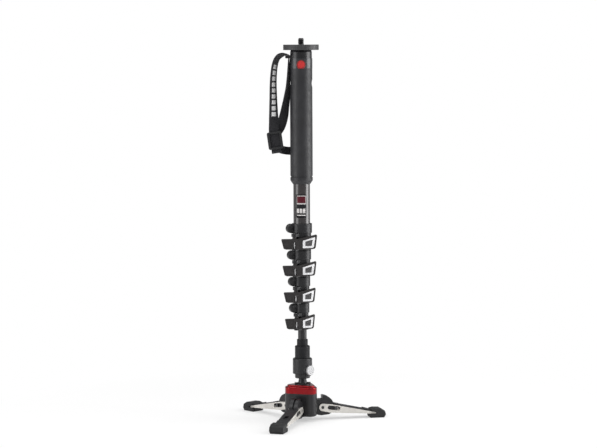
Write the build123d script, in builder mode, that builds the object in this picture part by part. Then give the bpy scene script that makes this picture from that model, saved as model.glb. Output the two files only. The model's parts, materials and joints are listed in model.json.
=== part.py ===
from build123d import *
import os
from math import cos, radians, sin

os.makedirs("parts", exist_ok=True)

# Camera monopod on a folding three-legged base. Millimetres, +Z up, origin on the
# floor under the column's axis. The front, with the lever pads, faces -Y.

# Fits
running_clearance = 0.05
free_gap = 0.3
cut_overrun = 3.0

# Base body
floor_clearance = 8.0
base_height = 37.2
lobe_radius = 12.0
lobe_centre_radius = 16.8
lobe_azimuths = (-48, 72, 192)
base_foot_round = 4.2
edge_round = 1.2

# Red top ring and the toothed ring round its opening
ring_rim_height = 10.6
ring_top_height = 2.8
ring_top_inset = 3.6
ring_rim_round = 1.8
opening_radius = 11.6
opening_ring_wall = 1.2
opening_ring_height = 1.6
tooth_height = 1.8
tooth_width = 3.4
tooth_count = 4

# Ball joint
ball_radius = 10.0
ball_depth = 12.6
seat_radius = 15.0
seat_floor = 3.0
seat_lip_height = 4.0
seat_lip_radius = 9.25
seat_top_gap = 2.4
neck_radius = 5.7
neck_flare_radius = 7.3
neck_flare_height = 2.3
spindle_length = 31.8
spindle_head_radius = 7.6
spindle_head_height = 2.6

# Bottom cover and its screws
cover_inset = 4.6
cover_thickness = 2.8
hub_radius = 11.3
hub_height = 1.8
screw_radius = 1.5
screw_head_radius = 2.6
screw_head_height = 1.5
screw_length = 9.0

# Legs
leg_azimuths = (12, -108, 132)
hinge_radius = 31.5
hinge_height = 20.3
leg_slope = 8.1
leg_width = 18.6
plate_thickness = 2.0
plate_foot_overlap = 11.9
plate_end_radius = 6.0
plate_shoulder = 14.0
plate_top_height = 6.6
plate_bottom_depth = 7.2
plate_tip_height = 1.2
hinge_pin_radius = 2.5
tongue_radius = 19.4
tongue_saddle_height = 13.0
tongue_foot_depth = 13.2
tongue_foot_reach = 10.5
tongue_rim_end = 24
tongue_groove_width = 2.6
tongue_groove_depth = 3.2
slot_start = 8.0
slot_length = 21.4
slot_height = 6.6
slot_rise = 1.0
latch_length = 4.4
latch_travel = 3.0
latch_height = 5.9
leg_cover_thickness = 1.8
leg_cover_step = 0.9
leg_cover_step_start = 29.0
leg_cover_tail = 17.5
leg_cover_end_gap = 4.4
leg_core_depth = 5.0
cover_window_length = 13.0
cover_window_width = 7.0
cover_window_place = 54.0
cover_window_depth = 2.4

# Rubber feet
foot_heel_radius = 110.0
foot_length = 27.0
foot_height = 15.4
foot_width = 23.6
foot_side_round = 2.2
foot_edge_round = 1.4

# Lock sleeve and its button
lock_travel = 8.4
spigot_radius = 12.2
spigot_bore = 7.9
spigot_height = 7.1
sleeve_radius = 15.7
sleeve_height = 25.4
sleeve_round = 2.2
sleeve_foot_round = 1.0
sleeve_floor = 1.0
button_radius = 8.0
button_side_gap = 0.2
button_boss_radius = 9.5
button_boss_reach = 16.0
button_pocket_floor = 12.9
button_travel = 2.0
button_reach = 19.0
button_rise = 6.6
button_azimuth = -45
button_dome = 0.9

# Barrel, fluid cartridge and tube socket
barrel_radius = 12.1
barrel_top = 20.1
barrel_round = 1.6
cartridge_radius = 10.0
cartridge_height = 20.4
socket_radius = 8.8
socket_height = 10.5
socket_depth = 9.5
socket_round = 0.8

# Column tubes
tube_count = 5
tube_radius = 13.4
tube_step = 1.6
tube_wall = 1.1
tube_exposed = 16.2
bush_height = 24.0
tube_head_room = 4.1

# Lever clamps
clamp_pitch = 43.1
clamp_band_height = 27.3
clamp_collar_height = 15.4
collar_wall = 3.0
band_wall = 3.2
shoulder_height = 1.0
collar_round = 0.9
band_slit = 1.6
band_slit_azimuth = -150
boss_radius = 7.5
boss_offset = 5.6
boss_length = 10.0
boss_azimuth = 200
boss_chamfer = 1.3
bolt_head_radius = 4.4
bolt_head_height = 2.0
bolt_pocket_depth = 3.2
lever_pin_radius = 1.6
lever_pin_offset = 8.4
lever_pin_azimuth = -126
top_lug_height = 4.9
top_lug_radius = 5.0
bottom_lug_height = 1.6
bottom_lug_radius = 4.2
lug_root_radius = 6.0

# Levers, with the front outline and the plan drawn as shares of these sizes
lever_height = 23.8
lever_left_reach = 33.4
lever_left_step = 1.75
lever_right_reach = 24.5
lever_right_step = 1.3
lever_hub_radius = 4.7
lever_neck_radius = 3.4
lever_round = 1.4
lever_window_width = 4.6
lever_window_share = (0.06, 0.50)
trim_proud = 0.7
trim_sink = 0.7
pad_proud = 0.2
lever_outline_share = (
    (-1.00, 0.71),
    (-0.88, 0.06),
    (-0.76, 0.00),
    (0.45, 0.00),
    (0.84, 0.04),
    (0.91, 0.14),
    (1.00, 0.93),
    (0.94, 1.00),
    (0.30, 0.86),
    (-0.20, 0.72),
)
bezel_outline_share = (
    (0.06, 0.10),
    (0.72, 0.11),
    (0.79, 0.18),
    (0.875, 0.80),
    (0.84, 0.83),
    (0.06, 0.60),
)
pad_outline_share = ((0.22, 0.23), (0.65, 0.24), (0.71, 0.68), (0.225, 0.54))
wing_recess_share = ((-0.93, 0.61), (-0.83, 0.12), (-0.50, 0.10), (-0.46, 0.61))
wing_recess_depth = 0.8
lever_face_share = (
    (-1.00, -0.95),
    (-0.66, -0.79),
    (0.00, -1.00),
    (0.50, -0.80),
    (1.00, 0.20),
)
lever_back_share = (
    (0.96, 0.84),
    (0.50, -0.05),
    (0.00, -0.18),
    (-0.66, -0.15),
    (-0.98, -0.40),
)

# Grip, grey band, neck collar and camera plate
grip_radius = 18.0
grip_bottom = 79.1
grip_taper_height = 5.7
grip_taper_radius = 14.2
grip_bead_height = 4.9
grip_groove_height = 2.3
grip_groove_depth = 1.0
grip_length = 172.3
grip_screw_drop = 23.8
grip_recess_radius = 6.2
grip_recess_depth = 2.2
grip_screw_radius = 4.6
grip_screw_height = 0.8
band_radius = 18.2
band_height = 16.2
badge_radius = 7.0
badge_drop = 10.4
badge_proud = 0.5
badge_sink = 0.5
neck_collar_radius = 17.4
neck_collar_height = 13.1
neck_cone_height = 3.1
neck_cone_inset = 0.9
neck_socket_depth = 5.2
plate_radius = 28.5
plate_height = 8.7
plate_edge_round = 0.7
camera_screw_radius = 4.7625
camera_screw_length = 10.4
camera_screw_chamfer = 0.8
camera_screw_undercut = 0.7
camera_screw_head_radius = 8.0
camera_screw_head_height = 3.6
anchor_width = 20.0
anchor_height = 5.0
anchor_wall = 2.2
anchor_slot_width = 16.0
anchor_slot_play = 2.4
anchor_slot_length = 4.6

# Wrist strap and its slider
strap_width = 15.0
strap_thickness = 1.8
strap_plane = -2.6
strap_gap = 0.6
outer_bow = 22.9
inner_bow = 20.2
crown_run = 6.2
slider_width = 23.8
slider_height = 28.2
slider_bar = 3.3
slider_side_bar = 4.0
slider_thickness = 2.4
slider_back_thickness = 1.6
slider_round = 3.0
slider_tilt = 8
slider_x = -42.2
slider_z = 454.0
fold_radius = 2.8
fold_drop = 17.4

# Lengths and heights that follow from the sizes above
plate_length = foot_heel_radius + plate_foot_overlap - hinge_radius
leg_cover_end = plate_length - leg_cover_end_gap
leg_cover_tail_start = leg_cover_end - leg_cover_tail
base_top = floor_clearance + base_height
ring_rim_top = base_top + ring_rim_height
ring_top = ring_rim_top + ring_top_height
opening_ring_top = ring_top + opening_ring_height
ball_centre = ring_top - ball_depth
seat_top = ring_top - seat_top_gap
seat_bottom = ball_centre - ball_radius - seat_floor
spigot_bottom = opening_ring_top + free_gap + lock_travel
sleeve_bottom = spigot_bottom + spigot_height
sleeve_top = sleeve_bottom + sleeve_height
barrel_bottom = sleeve_bottom + sleeve_floor + 2 * free_gap
barrel_top_z = sleeve_top + barrel_top
socket_top = barrel_top_z + socket_height
clamp_bottoms = [
    socket_top + tube_exposed + clamp_pitch * (tube_count - 2 - index)
    for index in range(tube_count - 1)
]
collar_bottoms = [bottom + clamp_band_height for bottom in clamp_bottoms]
tube_radii = [tube_radius - tube_step * index for index in range(tube_count)]
tube_bores = [radius - tube_wall for radius in tube_radii]
tube_bottoms = [z + shoulder_height for z in collar_bottoms] + [barrel_top_z - socket_depth]
collar_top = collar_bottoms[0] + clamp_collar_height
grip_end_z = collar_top + grip_bottom - clamp_collar_height
grip_base = grip_end_z + grip_taper_height + grip_bead_height + grip_groove_height
grip_top = grip_base + grip_length
band_top = grip_top + band_height
plate_bottom = band_top + neck_collar_height
plate_top = plate_bottom + plate_height
anchor_reach = band_radius + strap_gap + strap_thickness + anchor_slot_play + anchor_wall
tube_1_top = band_top + neck_socket_depth
tube_lift = tube_1_top - tube_head_room - collar_bottoms[0]
tube_tops = [tube_1_top] + [z + tube_lift for z in collar_bottoms]


def direction(azimuth):
    return Vector(cos(radians(azimuth)), sin(radians(azimuth)), 0)


def ring_face(height, outer, inner=0):
    """A disc, or a ring with a bore, lying at a height about the axis."""
    with BuildSketch(Plane.XY.offset(height)) as face:
        Circle(outer)
        if inner:
            Circle(inner, mode=Mode.SUBTRACT)
    return face.sketch


def half_section(*points):
    """A closed profile of (radius, height) points, to be turned about the axis."""
    with BuildSketch(Plane.XZ) as face:
        with BuildLine():
            Polyline(*points, close=True)
        make_face()
    return face.sketch


def lobed_face(height, inset=0):
    """The base's rounded triangle at a height, drawn in by an inset."""
    with BuildSketch(Plane.XY.offset(height)) as face:
        with Locations(*[direction(a) * lobe_centre_radius for a in lobe_azimuths]):
            Circle(lobe_radius - inset)
        make_hull()
    return face.sketch


def outline_face(plane, points, corner=0):
    with BuildSketch(plane) as face:
        with BuildLine():
            Polyline(*points, close=True)
        make_face()
        if corner:
            fillet(face.vertices(), corner)
    return face.sketch


def leg_plane(azimuth, slope=0):
    """A leg's side plane at its hinge: x out along the leg, y up, z across it."""
    out = direction(azimuth)
    along = out * cos(radians(slope)) + Vector(0, 0, -sin(radians(slope)))
    hinge = out * hinge_radius + Vector(0, 0, hinge_height)
    return Plane(origin=hinge, x_dir=along, z_dir=direction(azimuth - 90))


def both_sides(plane, distance):
    return plane.offset(distance), plane.offset(-distance)


# Base body, with a bore for the ball's seat and a tongue for each leg
plate_inner = leg_width / 2 - plate_thickness
tongue_half = plate_inner - free_gap
tongue_root = hinge_radius - lobe_centre_radius
with BuildPart() as base_body:
    extrude(lobed_face(floor_clearance), amount=base_height)
    fillet(base_body.edges().group_by(Axis.Z)[0], base_foot_round)
    bore = ring_face(seat_bottom - free_gap, seat_radius + running_clearance)
    extrude(bore, amount=base_height, mode=Mode.SUBTRACT)
    for azimuth in leg_azimuths:
        with BuildSketch(leg_plane(azimuth)):
            with BuildLine():
                rim_end = (
                    tongue_radius * cos(radians(tongue_rim_end)),
                    -tongue_radius * sin(radians(tongue_rim_end)),
                )
                rim = CenterArc((0, 0), tongue_radius, -tongue_rim_end, 90 + tongue_rim_end)
                Polyline(
                    rim @ 1,
                    (0, tongue_saddle_height),
                    (-tongue_root, tongue_saddle_height),
                    (-tongue_root, floor_clearance - hinge_height + cover_thickness),
                    (-tongue_root / 2, floor_clearance - hinge_height),
                    (-hinge_pin_radius, -tongue_foot_depth),
                    (tongue_foot_reach, -tongue_foot_depth + edge_round),
                    rim_end,
                )
            make_face()
        extrude(amount=tongue_half, both=True)
    recess = lobed_face(floor_clearance, cover_inset)
    extrude(recess, amount=cover_thickness, mode=Mode.SUBTRACT)
    for azimuth in leg_azimuths:
        with BuildSketch(leg_plane(azimuth)) as groove:
            groove_radius = tongue_radius - tongue_groove_depth
            Circle(tongue_radius + cut_overrun)
            Circle(groove_radius, mode=Mode.SUBTRACT)
            with Locations((-tongue_radius, 0)):
                Rectangle(
                    2 * tongue_radius + edge_round, 4 * tongue_radius, mode=Mode.SUBTRACT
                )
        extrude(amount=tongue_groove_width / 2, both=True, mode=Mode.SUBTRACT)
        with BuildSketch(leg_plane(azimuth)) as pin_hole:
            Circle(hinge_pin_radius)
        extrude(amount=leg_width, both=True, mode=Mode.SUBTRACT)
    with BuildSketch(Plane.XY.offset(floor_clearance)):
        with Locations(*[direction(a) * lobe_centre_radius for a in lobe_azimuths]):
            Circle(screw_radius)
    extrude(amount=screw_length, mode=Mode.SUBTRACT)
base_body.part.label = "base_body"
export_step(base_body.part, "parts/base_body.step")

with BuildPart() as bottom_cover:
    extrude(lobed_face(floor_clearance, cover_inset), amount=cover_thickness)
    hub = ring_face(floor_clearance - hub_height, hub_radius)
    extrude(hub, amount=hub_height)
    fillet(bottom_cover.edges().group_by(Axis.Z)[0], edge_round)
    with BuildSketch(Plane.XY.offset(floor_clearance)):
        with Locations(*[direction(a) * lobe_centre_radius for a in lobe_azimuths]):
            Circle(screw_head_radius)
    extrude(amount=screw_head_height, mode=Mode.SUBTRACT)
    with BuildSketch(Plane.XY.offset(floor_clearance)):
        with Locations(*[direction(a) * lobe_centre_radius for a in lobe_azimuths]):
            Circle(screw_radius)
    extrude(amount=cover_thickness, mode=Mode.SUBTRACT)
bottom_cover.part.label = "bottom_cover"
export_step(bottom_cover.part, "parts/bottom_cover.step")

with BuildPart() as cover_screws:
    with BuildSketch(Plane.XY.offset(floor_clearance)):
        with Locations(*[direction(a) * lobe_centre_radius for a in lobe_azimuths]):
            Circle(screw_head_radius)
    extrude(amount=screw_head_height)
    with BuildSketch(Plane.XY.offset(floor_clearance)):
        with Locations(*[direction(a) * lobe_centre_radius for a in lobe_azimuths]):
            Circle(screw_radius)
    extrude(amount=screw_length)
cover_screws.part.label = "cover_screws"
export_step(cover_screws.part, "parts/cover_screws.step")

with BuildPart() as top_ring:
    extrude(lobed_face(base_top), amount=ring_rim_height)
    fillet(top_ring.edges().group_by(Axis.Z)[-1], ring_rim_round)
    extrude(lobed_face(ring_rim_top, ring_top_inset), amount=ring_top_height)
    fillet(top_ring.edges().group_by(Axis.Z)[-1], edge_round)
    seat_bore = ring_face(base_top, seat_radius + running_clearance)
    extrude(seat_bore, amount=seat_top + free_gap - base_top, mode=Mode.SUBTRACT)
    extrude(ring_face(base_top, opening_radius), amount=base_height, mode=Mode.SUBTRACT)
top_ring.part.label = "top_ring"
export_step(top_ring.part, "parts/top_ring.step")

opening_ring_radius = opening_radius + opening_ring_wall
with BuildPart() as opening_ring:
    band = ring_face(ring_top, opening_ring_radius, opening_radius)
    extrude(band, amount=opening_ring_height)
    with BuildSketch(Plane.XY.offset(opening_ring_top)) as teeth:
        with PolarLocations(opening_radius, tooth_count):
            Rectangle(tooth_width, tooth_width)
        Circle(opening_radius, mode=Mode.SUBTRACT)
        Circle(opening_ring_radius, mode=Mode.INTERSECT)
    extrude(amount=tooth_height)
opening_ring.part.label = "opening_ring"
export_step(opening_ring.part, "parts/opening_ring.step")

# Ball joint: a seat that turns in the base, and the ball with its stem
with BuildPart() as ball_seat:
    extrude(ring_face(seat_bottom, seat_radius), amount=seat_top - seat_bottom)
    with Locations((0, 0, ball_centre)):
        Sphere(ball_radius + running_clearance, mode=Mode.SUBTRACT)
    mouth = half_section(
        (0, ball_centre),
        (seat_lip_radius, ball_centre),
        (seat_lip_radius, ball_centre + seat_lip_height),
        (opening_radius, seat_top),
        (opening_radius, seat_top + cut_overrun),
        (0, seat_top + cut_overrun),
    )
    revolve(mouth, axis=Axis.Z, mode=Mode.SUBTRACT)
ball_seat.part.label = "ball_seat"
export_step(ball_seat.part, "parts/ball_seat.step")

spindle_top = spigot_bottom + spindle_length
with BuildPart() as ball_stem:
    with Locations((0, 0, ball_centre)):
        Sphere(ball_radius)
    stem = half_section(
        (0, ball_centre),
        (neck_flare_radius, ball_centre),
        (neck_flare_radius, ring_top + neck_flare_height),
        (neck_radius, spigot_bottom),
        (neck_radius, spindle_top - spindle_head_height),
        (spindle_head_radius, spindle_top - spindle_head_height),
        (spindle_head_radius, spindle_top),
        (0, spindle_top),
    )
    revolve(stem, axis=Axis.Z)
ball_stem.part.label = "ball_stem"
export_step(ball_stem.part, "parts/ball_stem.step")

# Lower column: barrel on the spindle, its fluid cartridge and the tube socket
with BuildPart() as barrel:
    extrude(ring_face(barrel_bottom, barrel_radius), amount=barrel_top_z - barrel_bottom)
    fillet(barrel.edges().group_by(Axis.Z)[-1], barrel_round)
    pocket = ring_face(barrel_bottom, cartridge_radius)
    extrude(pocket, amount=cartridge_height, mode=Mode.SUBTRACT)
    head_room = ring_face(barrel_bottom + cartridge_height, spindle_head_radius + free_gap)
    head_depth = spindle_top + free_gap - barrel_bottom - cartridge_height
    extrude(head_room, amount=head_depth, mode=Mode.SUBTRACT)
    tube_seat = ring_face(tube_bottoms[-1], tube_radii[-1])
    extrude(tube_seat, amount=socket_height + socket_depth, mode=Mode.SUBTRACT)
barrel.part.label = "barrel"
export_step(barrel.part, "parts/barrel.step")

with BuildPart() as fluid_cartridge:
    cartridge = ring_face(barrel_bottom, cartridge_radius, neck_radius + running_clearance)
    extrude(cartridge, amount=cartridge_height)
fluid_cartridge.part.label = "fluid_cartridge"
export_step(fluid_cartridge.part, "parts/fluid_cartridge.step")

with BuildPart() as tube_socket:
    extrude(ring_face(barrel_top_z, socket_radius), amount=socket_height)
    fillet(tube_socket.edges().group_by(Axis.Z)[-1], socket_round)
    bore = ring_face(barrel_top_z, tube_radii[-1])
    extrude(bore, amount=socket_height, mode=Mode.SUBTRACT)
tube_socket.part.label = "tube_socket"
export_step(tube_socket.part, "parts/tube_socket.step")

# Lock sleeve, which drops its spigot over the ring's teeth, and its button
button_centre = sleeve_bottom + button_rise
button_out = direction(button_azimuth)


def button_plane(reach):
    """A plane square to the button's axis, this far out from the column's axis."""
    place = button_out * reach + Vector(0, 0, button_centre)
    return Plane(origin=place, x_dir=direction(button_azimuth + 90), z_dir=button_out)


with BuildPart() as lock_sleeve:
    extrude(ring_face(sleeve_bottom, sleeve_radius), amount=sleeve_height)
    fillet(lock_sleeve.edges().group_by(Axis.Z)[-1], sleeve_round)
    fillet(lock_sleeve.edges().group_by(Axis.Z)[0], sleeve_foot_round)
    extrude(ring_face(spigot_bottom, spigot_radius), amount=spigot_height)
    fillet(lock_sleeve.edges().group_by(Axis.Z)[0], sleeve_foot_round)
    with BuildSketch(button_plane(spigot_bore)):
        Circle(button_boss_radius)
    extrude(amount=button_boss_reach - spigot_bore)
    barrel_room = ring_face(sleeve_bottom + sleeve_floor, barrel_radius + running_clearance)
    extrude(barrel_room, amount=sleeve_height, mode=Mode.SUBTRACT)
    extrude(ring_face(spigot_bottom, spigot_bore), amount=sleeve_height, mode=Mode.SUBTRACT)
    with BuildSketch(button_plane(button_pocket_floor)):
        Circle(button_radius + button_side_gap)
    extrude(amount=button_boss_reach, mode=Mode.SUBTRACT)
    with BuildSketch(Plane.XY.offset(spigot_bottom)):
        with PolarLocations(opening_radius, tooth_count):
            Rectangle(tooth_width + 2 * free_gap, tooth_width + 2 * free_gap)
    extrude(amount=tooth_height + free_gap, mode=Mode.SUBTRACT)
lock_sleeve.part.label = "lock_sleeve"
export_step(lock_sleeve.part, "parts/lock_sleeve.step")

button_back = button_pocket_floor + button_travel + free_gap
with BuildPart() as lock_button:
    with BuildSketch(button_plane(button_back)):
        Circle(button_radius)
    extrude(amount=button_reach - button_back)
    front = lock_button.faces().sort_by(Axis((0, 0, button_centre), button_out))[-1]
    fillet(front.edges(), button_dome)
lock_button.part.label = "lock_button"
export_step(lock_button.part, "parts/lock_button.step")

# Column tubes. Each inner tube carries a guide bush at its top.
for index in range(tube_count):
    with BuildPart() as tube:
        wall = ring_face(tube_bottoms[index], tube_radii[index], tube_bores[index])
        extrude(wall, amount=tube_tops[index] - tube_bottoms[index])
    solids = tube.part.solids()
    if index:
        with BuildPart() as bush:
            bush_radius = tube_bores[index - 1] - running_clearance
            wall = ring_face(tube_tops[index] - bush_height, bush_radius, tube_radii[index])
            extrude(wall, amount=bush_height)
        solids = solids + bush.part.solids()
    tube_group = Compound(label=f"tube_{index + 1}", children=solids)
    export_step(tube_group, f"parts/tube_{index + 1}.step")


def clamp_point(radius, offset, azimuth):
    return direction(azimuth) * (radius + offset)


for index in range(tube_count - 1):
    number = index + 1
    outer_tube, inner_tube = tube_radii[index], tube_radii[index + 1]
    low, high = clamp_bottoms[index], collar_bottoms[index]
    pin_place = clamp_point(inner_tube, lever_pin_offset, lever_pin_azimuth)
    boss_place = clamp_point(outer_tube, boss_offset, boss_azimuth)
    boss_axis = direction(boss_azimuth + 90)
    boss_z = high + clamp_collar_height / 2
    band_radius_here = inner_tube + band_wall

    def boss_plane(ahead):
        place = boss_place + boss_axis * ahead + Vector(0, 0, boss_z)
        return Plane(origin=place, x_dir=direction(boss_azimuth), z_dir=boss_axis)

    def lug_face(height, radius):
        with BuildSketch(Plane.XY.offset(height)) as face:
            with Locations(pin_place):
                Circle(radius)
            with Locations(direction(lever_pin_azimuth) * (inner_tube - lug_root_radius / 2)):
                Circle(lug_root_radius)
            make_hull()
        return face.sketch

    with BuildPart() as boss:
        with BuildSketch(boss_plane(-boss_length / 2)):
            Circle(boss_radius)
        extrude(amount=boss_length)
        chamfer(boss.edges().filter_by(GeomType.CIRCLE), boss_chamfer)

    # Clamp collar: a ring on the outer tube, a split band on the inner one, two lugs
    with BuildPart() as collar:
        extrude(ring_face(high, outer_tube + collar_wall), amount=clamp_collar_height)
        fillet(collar.edges(), collar_round)
        add(boss.part)
        extrude(ring_face(low, band_radius_here), amount=high - low + collar_round)
        extrude(lug_face(high - top_lug_height, top_lug_radius), amount=top_lug_height)
        extrude(lug_face(low, bottom_lug_radius), amount=bottom_lug_height)
        tube_room = ring_face(high + shoulder_height, outer_tube)
        extrude(tube_room, amount=clamp_collar_height, mode=Mode.SUBTRACT)
        slide_room = ring_face(low, inner_tube + running_clearance)
        extrude(slide_room, amount=clamp_band_height + cut_overrun, mode=Mode.SUBTRACT)
        with BuildSketch(boss_plane(boss_length / 2)):
            Circle(bolt_head_radius)
        extrude(amount=-bolt_pocket_depth, mode=Mode.SUBTRACT)
        with BuildSketch(Plane.XY.offset(low)):
            with Locations(pin_place):
                Circle(lever_pin_radius)
        extrude(amount=clamp_band_height, mode=Mode.SUBTRACT)
        slit = direction(band_slit_azimuth)
        slit_plane = Plane(origin=(0, 0, low), x_dir=slit, z_dir=(0, 0, 1))
        with BuildSketch(slit_plane):
            with Locations((band_radius_here, 0)):
                Rectangle(2 * band_wall, band_slit)
        extrude(amount=high - low - top_lug_height, mode=Mode.SUBTRACT)
    collar.part.label = f"clamp_{number}_collar"
    export_step(collar.part, f"parts/clamp_{number}_collar.step")

    # Hinge pin of the lever and the head of the tension bolt
    with BuildPart() as hardware:
        with BuildSketch(Plane.XY.offset(low)):
            with Locations(pin_place):
                Circle(lever_pin_radius)
        extrude(amount=clamp_band_height)
        with BuildSketch(boss_plane(boss_length / 2 - bolt_pocket_depth)):
            Circle(bolt_head_radius)
        extrude(amount=bolt_head_height)
    hardware.part.label = f"clamp_{number}_hardware"
    export_step(hardware.part, f"parts/clamp_{number}_hardware.step")

    # Lever: a bowed bar in plan, cut to its front outline, on a hub round the pin
    left = lever_left_reach - lever_left_step * index
    right = lever_right_reach - lever_right_step * index
    lever_low = low + bottom_lug_height + free_gap

    def front_points(shares):
        return [(x * (left if x < 0 else right), lever_low + z * lever_height) for x, z in shares]

    def plan_points(shares, shift=0):
        points = []
        for along, deep in shares:
            end = -left if along < 0 else right
            x = pin_place.X + abs(along) * (end - pin_place.X)
            points.append((x, pin_place.Y + deep * lever_hub_radius - shift))
        return points

    def skin_face(shares, front_shift, back_shift):
        """A thin strip that follows the lever's face in plan."""
        outer = plan_points(shares, front_shift)
        inner = plan_points(shares, back_shift)
        with BuildSketch(Plane.XY.offset(lever_low)) as face:
            with BuildLine():
                first = Spline(*outer)
                second = Spline(*inner)
                Line(first @ 0, second @ 0)
                Line(first @ 1, second @ 1)
            make_face()
        return face.sketch

    with BuildPart() as bezel:
        extrude(skin_face(lever_face_share[1:], trim_proud, -trim_sink), amount=lever_height)
        frame = outline_face(Plane.XZ, front_points(bezel_outline_share), lever_round / 2)
        extrude(frame, amount=left, both=True, mode=Mode.INTERSECT)
        window = outline_face(Plane.XZ, front_points(pad_outline_share), lever_round / 2)
        extrude(window, amount=left, both=True, mode=Mode.SUBTRACT)
    bezel.part.label = f"lever_{number}_bezel"
    export_step(bezel.part, f"parts/lever_{number}_bezel.step")

    with BuildPart() as pad:
        extrude(skin_face(lever_face_share[1:], pad_proud, -trim_sink), amount=lever_height)
        window = outline_face(Plane.XZ, front_points(pad_outline_share), lever_round / 2)
        extrude(window, amount=left, both=True, mode=Mode.INTERSECT)
    pad.part.label = f"lever_{number}_pad"
    export_step(pad.part, f"parts/lever_{number}_pad.step")

    with BuildPart() as wing_recess:
        extrude(skin_face(lever_face_share, trim_proud, -wing_recess_depth), amount=lever_height)
        panel = outline_face(Plane.XZ, front_points(wing_recess_share), lever_round / 2)
        extrude(panel, amount=left, both=True, mode=Mode.INTERSECT)

    with BuildPart() as lever:
        with BuildSketch(Plane.XY.offset(lever_low)) as plan:
            with BuildLine():
                face_line = Spline(*plan_points(lever_face_share))
                back_line = Spline(*plan_points(lever_back_share))
                Line(face_line @ 1, back_line @ 0)
                Line(back_line @ 1, face_line @ 0)
            make_face()
            with Locations(pin_place):
                Circle(lever_hub_radius)
        extrude(amount=lever_height)
        front = outline_face(Plane.XZ, front_points(lever_outline_share), lever_round)
        extrude(front, amount=left, both=True, mode=Mode.INTERSECT)
        with BuildSketch(Plane.XY.offset(lever_low)):
            with Locations(pin_place):
                Circle(lever_neck_radius)
        extrude(amount=high - top_lug_height - free_gap - lever_low)
        with BuildSketch(Plane.XY.offset(lever_low)):
            with Locations(pin_place):
                Circle(lever_pin_radius + running_clearance)
        extrude(amount=lever_height, mode=Mode.SUBTRACT)
        window_low, window_high = [lever_low + s * lever_height for s in lever_window_share]
        with BuildSketch(Plane.XY.offset(window_low)):
            with Locations(pin_place + Vector(0, -lever_hub_radius, 0)):
                Rectangle(lever_window_width, 2 * lever_hub_radius)
        extrude(amount=window_high - window_low, mode=Mode.SUBTRACT)
        add(bezel.part, mode=Mode.SUBTRACT)
        add(pad.part, mode=Mode.SUBTRACT)
        add(wing_recess.part, mode=Mode.SUBTRACT)
    lever.part.label = f"lever_{number}"
    export_step(lever.part, f"parts/lever_{number}.step")

# Grip and what is above it
bead_top = grip_end_z + grip_taper_height + grip_bead_height
with BuildPart() as grip:
    profile = half_section(
        (tube_radius, grip_end_z),
        (grip_taper_radius, grip_end_z),
        (grip_radius, grip_end_z + grip_taper_height),
        (grip_radius, bead_top),
        (grip_radius - grip_groove_depth, bead_top),
        (grip_radius - grip_groove_depth, grip_base),
        (grip_radius, grip_base),
        (grip_radius, grip_top),
        (tube_radius, grip_top),
    )
    revolve(profile, axis=Axis.Z)
    screw_z = grip_top - grip_screw_drop
    with BuildSketch(Plane.YZ.offset(grip_radius - grip_recess_depth)) as recess:
        with Locations((0, screw_z)):
            Circle(grip_recess_radius)
    extrude(amount=cut_overrun, mode=Mode.SUBTRACT)
    with BuildSketch(Plane.YZ.offset(grip_recess_depth - grip_radius)) as recess:
        with Locations((0, screw_z)):
            Circle(grip_recess_radius)
    extrude(amount=-cut_overrun, mode=Mode.SUBTRACT)
grip.part.label = "grip"
export_step(grip.part, "parts/grip.step")

with BuildPart() as grip_screws:
    for side in (1, -1):
        with BuildSketch(Plane.YZ.offset(side * (grip_radius - grip_recess_depth))):
            with Locations((0, screw_z)):
                Circle(grip_screw_radius)
        extrude(amount=side * grip_screw_height)
grip_screws.part.label = "grip_screws"
export_step(grip_screws.part, "parts/grip_screws.step")

with BuildPart() as badge:
    skin = ring_face(grip_top, band_radius + badge_proud, band_radius - badge_sink)
    extrude(skin, amount=band_height)
    with BuildSketch(Plane.XZ) as disc:
        with Locations((0, band_top - badge_drop)):
            Circle(badge_radius)
    extrude(amount=band_radius + cut_overrun, mode=Mode.INTERSECT)
badge.part.label = "badge"
export_step(badge.part, "parts/badge.step")

with BuildPart() as grey_band:
    extrude(ring_face(grip_top, band_radius, tube_radius), amount=band_height)
    add(badge.part, mode=Mode.SUBTRACT)
grey_band.part.label = "grey_band"
export_step(grey_band.part, "parts/grey_band.step")

screw_head_top = band_top + neck_socket_depth + camera_screw_head_height + free_gap
anchor_middle = band_top + anchor_height / 2
with BuildPart() as neck_collar:
    profile = half_section(
        (0, band_top),
        (neck_collar_radius, band_top),
        (neck_collar_radius, plate_bottom - neck_cone_height),
        (neck_collar_radius - neck_cone_inset, plate_bottom),
        (0, plate_bottom),
    )
    revolve(profile, axis=Axis.Z)
    with BuildSketch(Plane.XZ) as lug:
        with Locations((-anchor_reach / 2, anchor_middle)):
            Rectangle(anchor_reach, anchor_height)
        fillet(lug.vertices(), edge_round)
    extrude(amount=anchor_width / 2, both=True)
    with BuildSketch(Plane.XZ) as slot:
        with Locations((anchor_slot_length / 2 + anchor_wall - anchor_reach, anchor_middle)):
            Rectangle(anchor_slot_length, anchor_height + cut_overrun)
    extrude(amount=anchor_slot_width / 2, both=True, mode=Mode.SUBTRACT)
    extrude(ring_face(band_top, tube_radius), amount=neck_socket_depth, mode=Mode.SUBTRACT)
    head_room = ring_face(band_top, camera_screw_head_radius + free_gap)
    extrude(head_room, amount=screw_head_top - band_top, mode=Mode.SUBTRACT)
    shank_room = ring_face(band_top, camera_screw_radius)
    extrude(shank_room, amount=neck_collar_height, mode=Mode.SUBTRACT)
neck_collar.part.label = "neck_collar"
export_step(neck_collar.part, "parts/neck_collar.step")

with BuildPart() as camera_plate:
    extrude(ring_face(plate_bottom, plate_radius), amount=plate_height)
    fillet(camera_plate.edges(), plate_edge_round)
    hole = ring_face(plate_bottom, camera_screw_radius)
    extrude(hole, amount=plate_height, mode=Mode.SUBTRACT)
camera_plate.part.label = "camera_plate"
export_step(camera_plate.part, "parts/camera_plate.step")

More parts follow.
